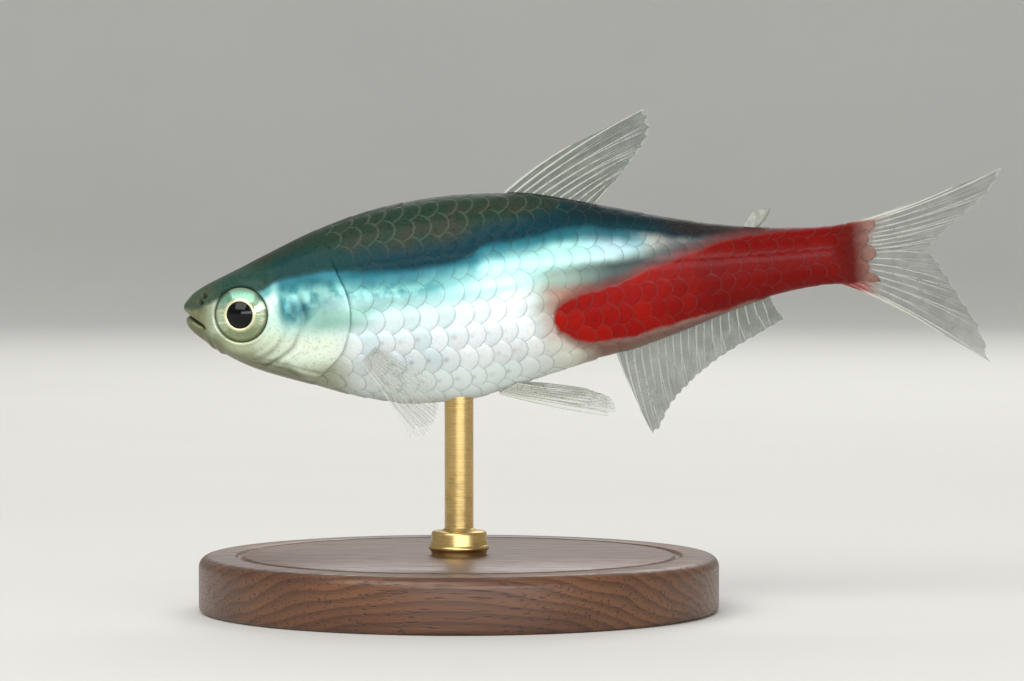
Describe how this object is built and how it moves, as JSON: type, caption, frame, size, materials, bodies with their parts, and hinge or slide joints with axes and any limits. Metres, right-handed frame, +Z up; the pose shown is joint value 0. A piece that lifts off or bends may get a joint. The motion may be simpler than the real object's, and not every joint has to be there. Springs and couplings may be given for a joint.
{
  "type": "neon tetra display model",
  "caption": "Still life-size model of a neon tetra in profile, with ridged fins, held nose slightly down over a small turned disc by a short rod.",
  "frame": {"origin": "middle of the flat underside of the stand's base, straight under the rod that holds the fish", "axes": "+Z up; the fish's head points to -X and its tail to +X, its left side faces -Y, and its body is pitched nose down by 4.8 degrees"},
  "size_m": [0.0341, 0.0216, 0.0208],
  "materials": {
    "skin": "scaled fish skin: dark olive back, blue-white stripe, silver belly and red hind band, satin to glossy",
    "eye": "pale silver-green iris round a black pupil under a clear wet cornea",
    "fin_membrane": "clear greyish membrane over fine jointed rays, slightly glossy",
    "stand_wood": "turned walnut, oiled to a satin sheen",
    "stand_brass": "drawn brass rod, fine lengthwise brushing"
  },
  "bodies": {
    "root": {"head": "skin", "torso": "skin", "tail": "skin", "eye_left": "eye", "eye_right": "eye", "dorsal_fin": "fin_membrane", "adipose_fin": "fin_membrane", "anal_fin": "fin_membrane", "caudal_fin_upper": "fin_membrane", "caudal_fin_lower": "fin_membrane", "pelvic_fin_left": "fin_membrane", "pelvic_fin_right": "fin_membrane", "pectoral_fin_left": "fin_membrane", "pectoral_fin_right": "fin_membrane", "stand_base": "stand_wood", "stand_rod": "stand_brass"}
  },
  "joints": []
}
